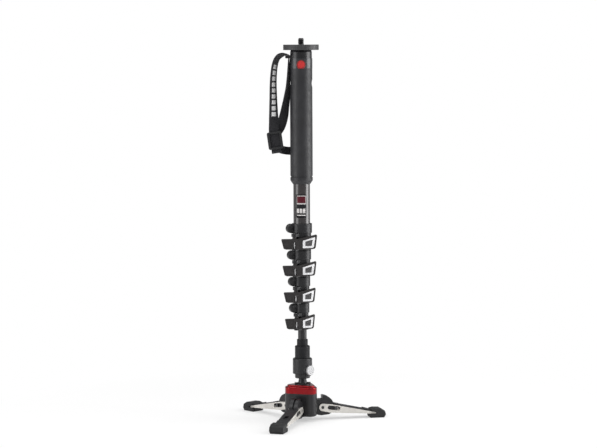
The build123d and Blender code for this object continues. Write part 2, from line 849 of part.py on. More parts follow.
screw_top = plate_top + camera_screw_length
with BuildPart() as camera_screw:
    profile = half_section(
        (0, screw_head_top - camera_screw_head_height),
        (camera_screw_head_radius, screw_head_top - camera_screw_head_height),
        (camera_screw_head_radius, screw_head_top),
        (camera_screw_radius, screw_head_top),
        (camera_screw_radius, plate_top),
        (camera_screw_radius - camera_screw_undercut, plate_top),
        (camera_screw_radius - camera_screw_undercut, plate_top + camera_screw_undercut),
        (camera_screw_radius, plate_top + camera_screw_undercut),
        (camera_screw_radius, screw_top - camera_screw_chamfer),
        (camera_screw_radius - camera_screw_chamfer, screw_top),
        (0, screw_top),
    )
    revolve(profile, axis=Axis.Z)
camera_screw.part.label = "camera_screw"
export_step(camera_screw.part, "parts/camera_screw.step")

# Legs
for number, azimuth in enumerate(leg_azimuths, start=1):
    flat_plane = leg_plane(azimuth)
    side_plane = leg_plane(azimuth, leg_slope)
    latch_start = tongue_radius + free_gap

    def plate_face(plane):
        """A side plate's outline: round hinge end, deepest at its shoulder, thin tip."""
        with BuildSketch(plane) as face:
            Circle(plate_end_radius)
            with BuildLine():
                Polyline(
                    (0, plate_end_radius),
                    (plate_shoulder, plate_top_height),
                    (plate_length, plate_tip_height),
                    (plate_length, -plate_tip_height),
                    (plate_shoulder, -plate_bottom_depth),
                    (0, -plate_end_radius),
                    close=True,
                )
            make_face()
            with Locations((slot_start + slot_length / 2, slot_rise)):
                SlotOverall(slot_length, slot_height, mode=Mode.SUBTRACT)
            Circle(hinge_pin_radius + running_clearance, mode=Mode.SUBTRACT)
        return face.sketch

    with BuildPart() as plates:
        near_plane, far_plane = both_sides(side_plane, plate_inner)
        extrude(plate_face(near_plane), amount=plate_thickness)
        extrude(plate_face(far_plane), amount=-plate_thickness)
    plates.part.label = f"leg_{number}_plates"
    export_step(plates.part, f"parts/leg_{number}_plates.step")

    # Cover: a lid along the plates' top edge with a core between the plates
    def top_line(x, above=0):
        slope_share = (x - plate_shoulder) / (plate_length - plate_shoulder)
        drop = (plate_top_height - plate_tip_height) * slope_share
        return x, plate_top_height - drop + above

    cover_start = latch_start
    thick, thin = leg_cover_thickness, leg_cover_thickness - leg_cover_step
    with BuildPart() as leg_cover:
        lid = outline_face(
            side_plane,
            (
                top_line(cover_start),
                top_line(cover_start, thick),
                top_line(leg_cover_step_start, thick),
                top_line(leg_cover_step_start + leg_cover_step, thin + leg_cover_step / 2),
                top_line(leg_cover_tail_start, thin + leg_cover_step / 2),
                top_line(leg_cover_tail_start + leg_cover_step, thick + leg_cover_step),
                top_line(leg_cover_end, thick),
                top_line(leg_cover_end),
            ),
        )
        extrude(lid, amount=leg_width / 2, both=True)
        core_start = latch_start + latch_length + latch_travel + free_gap
        core = outline_face(
            side_plane,
            (
                top_line(core_start),
                top_line(leg_cover_end),
                top_line(leg_cover_end, -plate_tip_height),
                top_line(core_start, -leg_core_depth),
            ),
        )
        extrude(core, amount=plate_inner, both=True)
        window_height = top_line(cover_window_place)[1] + thick - cover_window_depth
        lift = side_plane.origin + side_plane.y_dir * window_height
        window_plane = Plane(origin=lift, x_dir=side_plane.x_dir, z_dir=side_plane.y_dir)
        with BuildSketch(window_plane):
            with Locations((cover_window_place, 0)):
                Rectangle(cover_window_length, cover_window_width)
        extrude(amount=cover_window_depth + cut_overrun, mode=Mode.SUBTRACT)
    leg_cover.part.label = f"leg_{number}_cover"
    export_step(leg_cover.part, f"parts/leg_{number}_cover.step")

    # Latch: a bar between the plates whose ends show in their slots
    with BuildPart() as latch:
        with BuildSketch(side_plane):
            with Locations((latch_start + latch_length / 2, slot_rise)):
                Rectangle(latch_length, latch_height)
        extrude(amount=leg_width / 2, both=True)
    latch.part.label = f"leg_{number}_latch"
    export_step(latch.part, f"parts/leg_{number}_latch.step")

    # Foot: a rubber block with a flat sole, cut to take the tip of the leg
    heel = foot_heel_radius - hinge_radius
    foot_outline_share = (
        (0.00, 0.16),
        (0.04, 0.00),
        (0.88, 0.00),
        (1.00, 0.30),
        (0.94, 0.70),
        (0.68, 0.96),
        (0.30, 1.00),
        (0.08, 0.92),
    )
    with BuildPart() as foot:
        points = [
            (heel + x * foot_length, z * foot_height - hinge_height) for x, z in foot_outline_share
        ]
        extrude(outline_face(flat_plane, points, foot_edge_round), amount=foot_width / 2, both=True)
        side_faces = foot.faces().filter_by(Axis((0, 0, 0), flat_plane.z_dir))
        fillet(side_faces.edges(), foot_side_round)
        add(leg_cover.part, mode=Mode.SUBTRACT)
        for plane, sign in zip(both_sides(side_plane, plate_inner), (1, -1)):
            with BuildSketch(plane):
                with BuildLine():
                    Polyline(
                        (plate_shoulder, plate_top_height),
                        (plate_length, plate_tip_height),
                        (plate_length, -plate_tip_height),
                        (plate_shoulder, -plate_bottom_depth),
                        close=True,
                    )
                make_face()
            extrude(amount=sign * foot_width, mode=Mode.SUBTRACT)
    foot.part.label = f"leg_{number}_foot"
    export_step(foot.part, f"parts/leg_{number}_foot.step")

with BuildPart() as leg_hinge_pins:
    for azimuth in leg_azimuths:
        with BuildSketch(leg_plane(azimuth)):
            Circle(hinge_pin_radius)
        extrude(amount=leg_width / 2 - free_gap, both=True)
leg_hinge_pins.part.label = "leg_hinge_pins"
export_step(leg_hinge_pins.part, "parts/leg_hinge_pins.step")

# Wrist strap: webbing on edge at the neck that turns its face forward at the slider.
# A run's places are (reach, drop, depth) as shares of the run, and a twist in degrees.
outer_run_share = (
    (-0.45, 0.00, 0.00, 0),
    (-0.64, 0.005, 0.00, 4),
    (-0.80, 0.03, 0.04, 14),
    (-0.91, 0.09, 0.08, 24),
    (-0.97, 0.18, 0.18, 30),
    (-1.00, 0.33, 0.33, 36),
    (-1.00, 0.52, 0.52, 44),
    (-0.985, 0.68, 0.68, 56),
    (-0.975, 0.82, 0.82, 70),
)
inner_run_share = (
    (0.00, 0.13, 0.00, 2),
    (-0.02, 0.24, 0.00, 8),
    (-0.06, 0.36, 0.02, 18),
    (-0.16, 0.48, 0.08, 32),
    (-0.29, 0.60, 0.30, 46),
    (-0.445, 0.72, 0.70, 62),
    (-0.70, 0.83, 1.15, 78),
)
tail_share = (
    (0.02, 0.20, 0.08),
    (0.22, 0.12, 0.13),
    (0.40, 0.04, 0.32),
    (0.60, -0.04, 0.66),
    (0.80, -0.08, 0.91),
    (1.00, -0.10, 0.99),
)


def strap_section(spot, along, twist):
    """The webbing's cross-section, square to its run and turned about it."""
    edge_on = (Vector(0, 1, 0) - along * along.Y).normalized()
    width_way = edge_on * cos(radians(twist)) + along.cross(edge_on) * sin(radians(twist))
    with BuildSketch(Plane(origin=spot, x_dir=width_way, z_dir=along)) as section:
        Rectangle(strap_width, strap_thickness)
    return section.sketch


def strap_run(spots, twists, first, last):
    """Sections along a run, with the directions of its two ends given."""
    ways = [after - before for before, after in zip(spots[:-2], spots[2:])]
    ways = [first] + [way.normalized() for way in ways] + [last]
    return [strap_section(*place) for place in zip(spots, ways, twists)]


slider_down = Vector(sin(radians(slider_tilt)), 0, -cos(radians(slider_tilt)))
slider_side = Vector(cos(radians(slider_tilt)), 0, sin(radians(slider_tilt)))
slider_middle = Vector(slider_x, strap_plane, slider_z)
fold_front = slider_middle + slider_down * fold_drop
fold_centre = fold_front + Vector(0, fold_radius, 0)
fold_back = fold_centre + Vector(0, fold_radius, 0)
crown_radius = (strap_thickness + anchor_slot_play) / 2
crown_x = -band_radius - strap_gap - strap_thickness / 2
crown_z = band_top + anchor_height + free_gap - crown_radius + strap_thickness / 2
crown_start = Vector(crown_x - crown_radius, 0, crown_z + crown_radius)
strap_drop = crown_start.Z - slider_z
left, down = Vector(-1, 0, 0), Vector(0, 0, -1)
crown_end = Vector(crown_x, 0, crown_z)
outer_run = fold_drop + slider_height / 2
inner_run = fold_drop + slider_height / 6
with BuildPart() as strap_crown:
    with BuildSketch(Plane.XZ) as crown:
        with Locations((crown_start.X, crown_z)):
            Circle(crown_radius + strap_thickness / 2)
            Circle(crown_radius - strap_thickness / 2, mode=Mode.SUBTRACT)
            Rectangle(
                anchor_reach, anchor_reach, align=(Align.MIN, Align.MIN), mode=Mode.INTERSECT
            )
    extrude(amount=strap_width / 2, both=True)
    extrude(strap_section(crown_start, left, 0), amount=crown_run)
    extrude(strap_section(crown_end, down, 0), amount=crown_run)

with BuildPart() as strap_fold:
    with BuildSketch(Plane(origin=fold_centre, x_dir=(0, 1, 0), z_dir=slider_side)) as fold:
        Circle(fold_radius + strap_thickness / 2)
        Circle(fold_radius - strap_thickness / 2, mode=Mode.SUBTRACT)
        Rectangle(
            4 * fold_radius, 4 * fold_radius, align=(Align.CENTER, Align.MAX), mode=Mode.INTERSECT
        )
    extrude(amount=strap_width / 2, both=True)
    extrude(strap_section(fold_front, -slider_down, 90), amount=outer_run)
    extrude(strap_section(fold_back, -slider_down, 90), amount=inner_run)

with BuildPart() as strap_outer:
    spots = [crown_start + left * crown_run]
    for reach, drop, depth, twist in outer_run_share:
        spots.append(crown_start + Vector(reach * outer_bow, depth * strap_plane, -drop * strap_drop))
    spots.append(fold_front - slider_down * outer_run)
    twists = [0] + [share[-1] for share in outer_run_share] + [90]
    loft(strap_run(spots, twists, left, slider_down))

with BuildPart() as strap_inner:
    spots = [crown_end + down * crown_run]
    for reach, drop, depth, twist in inner_run_share:
        place = Vector(crown_x + reach * inner_bow, depth * fold_back.Y, crown_z - drop * strap_drop)
        spots.append(place)
    spots.append(fold_back - slider_down * inner_run)
    twists = [0] + [share[-1] for share in inner_run_share] + [90]
    loft(strap_run(spots, twists, down, slider_down))

with BuildPart() as strap_tail:
    spots = []
    for reach, rise, depth in tail_share:
        lift = Vector(-reach * fold_back.X, depth * grip_radius, rise * strap_width)
        spots.append(fold_back + lift)
    loft(strap_run(spots, [90] * len(spots), -left, -left))
lengths = (strap_crown, strap_outer, strap_fold, strap_inner, strap_tail)
wrist_strap = Compound(label="wrist_strap", children=[length.part.solid() for length in lengths])
export_step(wrist_strap, "parts/wrist_strap.step")

# Slider: a rounded frame in front of the webbing, with a bar behind it on two posts
slider_front = slider_middle - Vector(0, strap_thickness / 2 + free_gap, 0)
slider_back = slider_middle + Vector(0, strap_thickness / 2 + free_gap, 0)
window_width = slider_width - 2 * slider_side_bar
with BuildPart() as strap_slider:
    with BuildSketch(Plane(origin=slider_front, x_dir=slider_side, z_dir=(0, -1, 0))) as frame:
        RectangleRounded(slider_width, slider_height, slider_round)
        Rectangle(window_width, slider_height - 2 * slider_bar, mode=Mode.SUBTRACT)
    extrude(amount=slider_thickness)
    with BuildSketch(Plane(origin=slider_front, x_dir=slider_side, z_dir=(0, -1, 0))) as posts:
        Rectangle(slider_width, slider_bar)
        Rectangle(window_width, slider_bar, mode=Mode.SUBTRACT)
    extrude(amount=-(strap_thickness + 2 * free_gap))
    with BuildSketch(Plane(origin=slider_back, x_dir=slider_side, z_dir=(0, -1, 0))) as bar:
        Rectangle(slider_width, slider_bar)
    extrude(amount=-slider_back_thickness)
strap_slider.part.label = "strap_slider"
export_step(strap_slider.part, "parts/strap_slider.step")
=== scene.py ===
"""Looks of a camera monopod: its finishes, webbing, label, fastenings and stage."""

import json
from math import atan, atan2, cos, pi, radians, sin, sqrt

import bmesh
import bpy
from bpy.props import FloatProperty, FloatVectorProperty, IntProperty, PointerProperty
from mathutils import Matrix, Vector
from mathutils.geometry import interpolate_bezier


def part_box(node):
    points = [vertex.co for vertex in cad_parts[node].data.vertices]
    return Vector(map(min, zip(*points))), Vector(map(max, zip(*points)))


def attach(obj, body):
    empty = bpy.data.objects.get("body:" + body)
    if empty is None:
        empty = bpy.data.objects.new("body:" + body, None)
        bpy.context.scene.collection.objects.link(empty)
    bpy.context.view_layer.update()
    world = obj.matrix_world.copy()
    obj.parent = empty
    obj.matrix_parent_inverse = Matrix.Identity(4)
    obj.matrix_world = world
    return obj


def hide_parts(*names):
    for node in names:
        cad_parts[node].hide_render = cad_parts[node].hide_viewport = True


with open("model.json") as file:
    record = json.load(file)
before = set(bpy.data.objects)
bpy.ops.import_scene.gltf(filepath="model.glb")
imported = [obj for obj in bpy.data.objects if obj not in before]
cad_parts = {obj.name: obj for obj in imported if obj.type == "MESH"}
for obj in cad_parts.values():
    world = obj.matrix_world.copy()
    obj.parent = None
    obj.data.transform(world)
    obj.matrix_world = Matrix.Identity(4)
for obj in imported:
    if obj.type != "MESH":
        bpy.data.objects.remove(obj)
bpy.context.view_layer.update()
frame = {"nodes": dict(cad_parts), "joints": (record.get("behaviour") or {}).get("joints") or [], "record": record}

bl_info = {
    "name": "Camera Monopod Looks",
    "version": (1, 0, 0),
    "blender": (4, 5, 0),
    "location": "View3D > Sidebar > Monopod",
    "description": "Dresses the packed camera monopod: finishes, webbing, labels and stage",
    "category": "Object",
}

MM = 0.001
FRONT = -pi / 2  # azimuth of the side that faces the camera
SHARP_PIECES = ("strap_slider", "tube_socket", "opening_ring", "barrel")
LEVERS = ("lever_1", "lever_2", "lever_3", "lever_4")


def colour(name, description, value):
    """A colour setting with its default."""
    return FloatVectorProperty(
        name=name, description=description, default=value, subtype="COLOR", size=3, min=0, max=1
    )


def size(name, description, value):
    """A length setting, in metres, with its default."""
    return FloatProperty(
        name=name, description=description, default=value, unit="LENGTH", precision=5, min=0
    )


class MonopodColours(bpy.types.PropertyGroup):
    """Base colours of the monopod's finishes."""

    black: colour("Black metal", "Satin black anodised parts", (0.011, 0.011, 0.0125))
    plate: colour("Plate grey", "Matt dark grey camera plate", (0.040, 0.040, 0.042))
    gloss: colour("Gloss black", "Neck collar and label ground", (0.006, 0.006, 0.008))
    carbon: colour("Carbon", "Lacquered carbon tubes", (0.013, 0.0100, 0.0105))
    red: colour("Red", "Anodised ring round the base", (0.225, 0.004, 0.007))
    badge: colour("Badge red", "Plain round badge", (0.52, 0.020, 0.020))
    aluminium: colour("Aluminium", "Bare leg plates", (0.64, 0.62, 0.585))
    silver: colour("Silver", "Bezels, hinge pins and lock button", (0.90, 0.90, 0.915))
    steel: colour("Steel", "Bare steel parts", (0.30, 0.30, 0.31))
    screw: colour("Camera screw", "Blackened steel thread", (0.055, 0.055, 0.057))
    band: colour("Grey band", "Semi-gloss band under the neck", (0.036, 0.037, 0.040))
    grip: colour("Grip", "Moulded rubber grip", (0.016, 0.016, 0.0185))
    foot: colour("Foot", "Rubber feet", (0.018, 0.018, 0.019))
    lever: colour("Lever", "Charcoal lever plastic", (0.022, 0.0195, 0.0195))
    # painted highlight: the levers' paler edges stand in for light caught on their rounded edges
    rim: colour("Lever rim", "Paler edges of the levers", (0.15, 0.145, 0.145))
    pad: colour("Pad", "Grey pad inside a bezel", (0.095, 0.092, 0.094))
    webbing: colour("Webbing", "Woven strap", (0.013, 0.013, 0.015))
    thread: colour("Thread", "Stitching of the strap", (0.055, 0.055, 0.058))
    mark: colour("Marks", "Pale bars on the strap", (0.74, 0.74, 0.74))
    label: colour("Label", "Pale print on the tube's label", (0.60, 0.58, 0.57))
    crimson: colour("Crimson", "Dark red block of the label", (0.085, 0.005, 0.013))
    floor: colour("Floor", "Studio floor", (0.93, 0.93, 0.93))


class MonopodSizes(bpy.types.PropertyGroup):
    """Sizes of what is added to the frame."""

    strap_width: size("Strap width", "Width of the webbing", 16.1 * MM)
    strap_thickness: size("Strap thickness", "Thickness of the webbing", 1.6 * MM)
    weave_pitch: size("Weave pitch", "Distance between the webbing's ribs", 1.1 * MM)
    thread_pitch: size("Thread pitch", "Pitch of the camera screw", 1.5875 * MM)
    thread_depth: size("Thread depth", "Depth of the camera screw's thread", 0.86 * MM)
    tow_count: IntProperty(
        name="Tows", description="Carbon tows round a tube", default=36, min=8, max=200
    )
    tow_pitch: size("Tow pitch", "Distance between carbon tows along a tube", 2.4 * MM)
    edge_width: size("Edge width", "Width of the rounding on sharp edges", 0.3 * MM)
    # the paler edge round a lever is a painted highlight
    lever_edge_width: size("Lever edge", "Width of the paler edge round a lever", 0.5 * MM)
    label_lift: size("Label lift", "Thickness of the tube's label", 0.10 * MM)
    mark_count: IntProperty(
        name="Marks", description="Pale bars along the strap", default=9, min=1, max=40
    )


# Shader building blocks

# A mix node holds its number, vector and colour sockets in one row. These are the colour ones.
MIX_FACTOR, MIX_FIRST, MIX_SECOND, MIX_COLOUR = 0, 6, 7, 2


def node(tree, kind, **settings):
    """A new shader node with its settings."""
    made = tree.nodes.new(kind)
    for name, value in settings.items():
        setattr(made, name, value)
    return made


def feed(tree, socket, value):
    """Links a socket to another, or sets its value."""
    if isinstance(value, bpy.types.NodeSocket):
        tree.links.new(value, socket)
    else:
        socket.default_value = value


def maths(tree, operation, *values):
    """A maths node's result."""
    made = node(tree, "ShaderNodeMath", operation=operation)
    for socket, value in zip(made.inputs, values):
        feed(tree, socket, value)
    return made.outputs[0]


def place(tree):
    """Object coordinates, which ride with the piece."""
    return node(tree, "ShaderNodeTexCoord").outputs["Object"]


def parts_of(tree, vector):
    """The three numbers of a vector."""
    made = node(tree, "ShaderNodeSeparateXYZ")
    feed(tree, made.inputs["Vector"], vector)
    return made.outputs


def noise(tree, vector, scale, detail=3.0, roughness=0.55):
    """Noise from 0 to 1 at a scale in waves per metre."""
    made = node(tree, "ShaderNodeTexNoise")
    for name, value in (
        ("Vector", vector), ("Scale", scale), ("Detail", detail), ("Roughness", roughness)
    ):
        feed(tree, made.inputs[name], value)
    return made.outputs["Fac"]


def ripple(tree, value, pitch):
    """A sine wave of one pitch along a length."""
    return maths(tree, "SINE", maths(tree, "MULTIPLY", value, 2 * pi / pitch))


def spread(tree, value, low, high, from_low=0.3, from_high=0.7):
    """A value moved into a range."""
    made = node(tree, "ShaderNodeMapRange")
    for name, number in (
        ("From Min", from_low), ("From Max", from_high), ("To Min", low), ("To Max", high)
    ):
        made.inputs[name].default_value = number
    feed(tree, made.inputs["Value"], value)
    return made.outputs["Result"]


def between(tree, factor, first, second):
    """A colour between two, by a factor."""
    made = node(tree, "ShaderNodeMix", data_type="RGBA")
    feed(tree, made.inputs[MIX_FACTOR], factor)
    made.inputs[MIX_FIRST].default_value = (*first, 1)
    made.inputs[MIX_SECOND].default_value = (*second, 1)
    return made.outputs[MIX_COLOUR]


def tinted(base, share):
    """A colour made lighter or darker by a share."""
    return tuple(min(1.0, channel * share) for channel in base)


def new_surface(
    name, base, roughness, metallic=0.0, coat=0.0, coat_roughness=0.08, sheen=0.0, specular=0.5
):
    """A principled material, its tree and its shader."""
    made = bpy.data.materials.new(f"{name}_finish")
    made.use_nodes = True
    tree = made.node_tree
    shader = tree.nodes["Principled BSDF"]
    for socket, value in (
        ("Base Color", (*base, 1)), ("Roughness", roughness), ("Metallic", metallic),
        ("Coat Weight", coat), ("Coat Roughness", coat_roughness), ("Sheen Weight", sheen),
        ("Specular IOR Level", specular),
    ):
        shader.inputs[socket].default_value = value
    return made, tree, shader


def relief(tree, shader, height, strength, depth):
    """Bump on a shader, over any bump it already has."""
    made = node(tree, "ShaderNodeBump")
    made.inputs["Strength"].default_value = strength
    made.inputs["Distance"].default_value = depth
    feed(tree, made.inputs["Height"], height)
    normal = shader.inputs["Normal"]
    if normal.links:
        tree.links.new(normal.links[0].from_socket, made.inputs["Normal"])
    tree.links.new(made.outputs["Normal"], normal)


def mottled(name, base, roughness, shade=0.18, grain=900, bump=0.1, depth=0.03 * MM, **other):
    """A surface with fine grain, handling marks and uneven gloss."""
    made, tree, shader = new_surface(name, base, roughness, **other)
    where = place(tree)
    marks_scale, gloss_scale = 55, 140  # waves per metre, as grain is
    marks = noise(tree, where, marks_scale, 4)
    tone = between(
        tree, spread(tree, marks, 0, 1), tinted(base, 1 - shade), tinted(base, 1 + shade)
    )
    feed(tree, shader.inputs["Base Color"], tone)
    uneven = noise(tree, where, gloss_scale, 5)
    gloss = spread(tree, uneven, roughness * 0.8, roughness * 1.25)
    feed(tree, shader.inputs["Roughness"], gloss)
    relief(tree, shader, noise(tree, where, grain, 2), bump, depth)
    return made, tree, shader


# Finishes, one for each slot of the record


def finish_black_metal(colours, sizes):
    """Satin anodised metal."""
    return mottled("black_metal", colours.black, 0.36, grain=2600, bump=0.12, metallic=0.2)[0]


def finish_gloss_black(colours, sizes):
    """Smooth enamel of the neck collar."""
    return mottled("gloss_black", colours.gloss, 0.34, grain=700, bump=0.03, coat=0.1)[0]


def finish_carbon(colours, sizes, name="carbon_tube", share=1.0, coat=1.0):
    """Diagonal carbon tows under a clear lacquer, wrapped round the tube."""
    made, tree, shader = new_surface(name, colours.carbon, 0.34, coat=coat, coat_roughness=0.15)
    where = place(tree)
    x, y, z = parts_of(tree, where)
    turn = maths(tree, "MULTIPLY", maths(tree, "ARCTAN2", y, x), sizes.tow_count)
    climb = maths(tree, "MULTIPLY", z, 2 * pi / sizes.tow_pitch)
    rising = maths(tree, "SINE", maths(tree, "ADD", turn, climb))
    falling = maths(tree, "SINE", maths(tree, "SUBTRACT", turn, climb))
    weave = maths(tree, "GREATER_THAN", maths(tree, "MULTIPLY", rising, falling), 0.0)
    dark, pale = 0.62 * share, 1.6 * share
    tone = between(tree, weave, tinted(colours.carbon, dark), tinted(colours.carbon, pale))
    feed(tree, shader.inputs["Base Color"], tone)
    gloss = spread(tree, weave, 0.28, 0.42, 0, 1)
    feed(tree, shader.inputs["Roughness"], gloss)
    relief(tree, shader, rising, 0.10, 0.02 * MM)
    relief(tree, shader, noise(tree, where, 300, 2), 0.05, 0.03 * MM)
    return made


def finish_red(colours, sizes):
    """Dyed anodised aluminium with fine turning lines and a gloss."""
    made, tree, shader = mottled(
        "red_anodised", colours.red, 0.2, shade=0.1, grain=500, bump=0.02, metallic=1.0, coat=0.3
    )
    line_pitch = 0.35 * MM
    height = parts_of(tree, place(tree))["Z"]
    relief(tree, shader, ripple(tree, height, line_pitch), 0.06, 0.01 * MM)
    return made


def brushed(name, base, roughness, metallic):
    """Bare metal with long fine scratches level with the floor."""
    made, tree, shader = mottled(
        name, base, roughness, shade=0.10, grain=1500, bump=0.04, metallic=metallic
    )
    squeeze, scratch_scale = 26, 260
    stretched = node(tree, "ShaderNodeMapping")
    stretched.inputs["Scale"].default_value = (1, 1, squeeze)
    feed(tree, stretched.inputs["Vector"], place(tree))
    scratches = noise(tree, stretched.outputs["Vector"], scratch_scale, 4, 0.7)
    relief(tree, shader, scratches, 0.22, 0.015 * MM)
    return made


def finish_aluminium(colours, sizes):
    """Bare leg plates."""
    return brushed("bare_aluminium", colours.aluminium, roughness=0.42, metallic=0.75)


def finish_silver(colours, sizes):
    """Bezels and hinge pins."""
    return brushed("bezel_silver", colours.silver, roughness=0.30, metallic=0.4)


def finish_steel(colours, sizes):
    """Bare steel parts."""
    return brushed("steel", colours.steel, roughness=0.30, metallic=1.0)


def finish_band(colours, sizes):
    """Lacquered band under the neck."""
    return mottled(
        "grey_band", colours.band, 0.30, grain=1800, bump=0.06, metallic=0.3, coat=0.3
    )[0]


def finish_badge(colours, sizes):
    """Glossy enamel of the plain badge."""
    return mottled("red_badge", colours.badge, 0.22, shade=0.08, grain=400, bump=0.02, coat=0.8)[0]


def finish_grip(colours, sizes):
    """Moulded rubber with a fine pebble."""
    made, tree, shader = mottled(
        "grip_rubber", colours.grip, 0.48, shade=0.22, grain=1300, bump=0.3, depth=0.05 * MM,
        specular=0.45,
    )
    pebble_scale = 1100
    pebble = node(tree, "ShaderNodeTexVoronoi")
    feed(tree, pebble.inputs["Vector"], place(tree))
    pebble.inputs["Scale"].default_value = pebble_scale
    relief(tree, shader, pebble.outputs["Distance"], 0.30, 0.08 * MM)
    return made


def finish_foot(colours, sizes):
    """Matt rubber of the feet."""
    return mottled(
        "foot_rubber", colours.foot, 0.58, shade=0.25, grain=1100, bump=0.3, specular=0.3
    )[0]


def finish_lever(colours, sizes):
    """Moulded plastic of the levers."""
    return mottled(
        "lever_plastic", colours.lever, 0.40, grain=2100, bump=0.25, depth=0.05 * MM, specular=0.4
    )[0]


def finish_pad(colours, sizes):
    """Moulded pad with a fine square grid on its face, painted darker in the grooves and lighter on the raised
    squares as painted shade and highlight.
    """
    made, tree, shader = mottled("pad_grey", colours.pad, 0.6, grain=900, bump=0.1, specular=0.3)
    x, _, z = parts_of(tree, place(tree))
    pitch = 1.15 * MM
    grid = maths(tree, "MULTIPLY", ripple(tree, x, pitch), ripple(tree, z, pitch))
    relief(tree, shader, grid, 0.8, 0.25 * MM)
    # painted shade: the grid's grooves are darker and its raised squares lighter, following the bump height
    painted_relief_shading = spread(tree, grid, 0, 1, -0.2, 0.3)
    tone = between(tree, painted_relief_shading, tinted(colours.pad, 0.45), tinted(colours.pad, 1.25))
    feed(tree, shader.inputs["Base Color"], tone)
    return made


def finish_cover(colours, sizes):
    """Moulded plastic of the leg covers."""
    return mottled(
        "cover_plastic", colours.black, 0.46, grain=1700, bump=0.25, depth=0.04 * MM, specular=0.35
    )[0]


def finish_bearing(colours, sizes):
    """Smooth plastic of the bearings inside."""
    return mottled("bearing_plastic", colours.black, 0.35, grain=600, bump=0.05)[0]


def finish_webbing(colours, sizes):
    """Ribbed webbing, woven across and along the strap's own map, in metres."""
    made, tree, shader = new_surface("webbing", colours.webbing, 0.72, sheen=0.12, specular=0.25)
    across, along, _ = parts_of(tree, node(tree, "ShaderNodeTexCoord").outputs["UV"])
    ribs = ripple(tree, along, sizes.weave_pitch)
    warp = ripple(tree, across, sizes.weave_pitch * 1.25)
    weave = maths(tree, "MULTIPLY", ribs, warp)
    # painted shade and highlight: the weave's hollows are darker and its raised ribs lighter, following the bump
    # height
    painted_relief_shading = spread(tree, weave, 0, 1, -0.8, 0.8)
    tone = between(tree, painted_relief_shading, tinted(colours.webbing, 0.5), tinted(colours.webbing, 2.6))
    feed(tree, shader.inputs["Base Color"], tone)
    relief(tree, shader, weave, 0.8, 0.16 * MM)
    relief(tree, shader, noise(tree, place(tree), 2500, 2), 0.2, 0.05 * MM)
    return made


def finish_slider(colours, sizes):
    """Lacquered slider of the strap."""
    return mottled(
        "slider_grey", tinted(colours.band, 0.45), 0.26, grain=900, bump=0.08, coat=0.3
    )[0]


FINISHES = {
    "black_metal": finish_black_metal,
    "gloss_black": finish_gloss_black,
    "carbon_tube": finish_carbon,
    "red_anodised": finish_red,
    "bare_aluminium": finish_aluminium,
    "steel": finish_steel,
    "grey_band": finish_band,
    "red_badge": finish_badge,
    "grip_rubber": finish_grip,
    "foot_rubber": finish_foot,
    "lever_plastic": finish_lever,
    "bezel_silver": finish_silver,
    "pad_grey": finish_pad,
    "cover_plastic": finish_cover,
    "bearing_plastic": finish_bearing,
    "webbing": finish_webbing,
    "slider_grey": finish_slider,
}


def finish(name):
    """A finish made before. A slot's own one has the slot's name."""
    return bpy.data.materials[name]


# Mesh building blocks


def new_piece(name, mesh, material, body, smooth=radians(35)):
    """An object from a finished bmesh, riding on a body."""
    data = bpy.data.meshes.new(name)
    mesh.to_mesh(data)
    mesh.free()
    data.materials.append(material)
    data.shade_smooth()
    data.set_sharp_from_angle(angle=smooth)
    piece = bpy.data.objects.new(name, data)
    bpy.context.scene.collection.objects.link(piece)
    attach(piece, body)
    return piece


def closed(mesh):
    """Merges doubles and turns every face outwards."""
    bmesh.ops.remove_doubles(mesh, verts=mesh.verts, dist=0.002 * MM)
    bmesh.ops.recalc_face_normals(mesh, faces=mesh.faces)
    return mesh


def join_in(mesh, other):
    """Adds another bmesh to a first one and frees it."""
    scratch = bpy.data.meshes.new("scratch")
    other.to_mesh(scratch)
    other.free()
    mesh.from_mesh(scratch)
    bpy.data.meshes.remove(scratch)


def turned(mesh, profile, steps=64):
    """Spins a profile of (radius, height) points about +Z."""
    verts = [mesh.verts.new((radius, 0, height)) for radius, height in profile]
    edges = [mesh.edges.new(pair) for pair in zip(verts, verts[1:])]
    bmesh.ops.spin(
        mesh, geom=verts + edges, cent=(0, 0, 0), axis=(0, 0, 1), angle=2 * pi, steps=steps,
        use_merge=True,
    )


def thick(piece, thickness, offset=0.0, round_edge=0.0):
    """Gives a sheet its wall, with rounded edges if asked."""
    wall = piece.modifiers.new("Wall", "SOLIDIFY")
    wall.thickness = thickness
    wall.offset = offset
    if round_edge:
        edge = piece.modifiers.new("Edge", "BEVEL")
        edge.width = round_edge
        edge.segments = 2
        edge.limit_method = "ANGLE"
        edge.angle_limit = radians(50)


def label_patch(name, radius, low, high, start, end, material, thickness):
    """A thin sheet on the largest tube, between two heights and two azimuths."""
    mesh = bmesh.new()
    ends = [mesh.verts.new((radius * cos(start), radius * sin(start), z)) for z in (low, high)]
    edge = mesh.edges.new(ends)
    bmesh.ops.spin(
        mesh, geom=ends + [edge], cent=(0, 0, 0), axis=(0, 0, 1), angle=end - start, steps=24
    )
    closed(mesh)
    for face in mesh.faces:
        middle = face.calc_center_median()
        if face.normal.dot(Vector((middle.x, middle.y, 0))) < 0:
            face.normal_flip()
    piece = new_piece(name, mesh, material, "section_1")
    thick(piece, thickness, offset=1.0)


# Webbing

ROW_PITCH = 1.2 * MM  # of the webbing's mesh, along its length
STITCH_PITCH, STITCH_ROW_GAP = 2.1 * MM, 2.6 * MM
LUG_STITCHES_HEIGHT = 590.4 * MM
TAIL_STITCH_SHARES = (0.20, 0.26, 0.40, 0.46)
BARS_TOP, BARS_BOTTOM = 575 * MM, 490 * MM

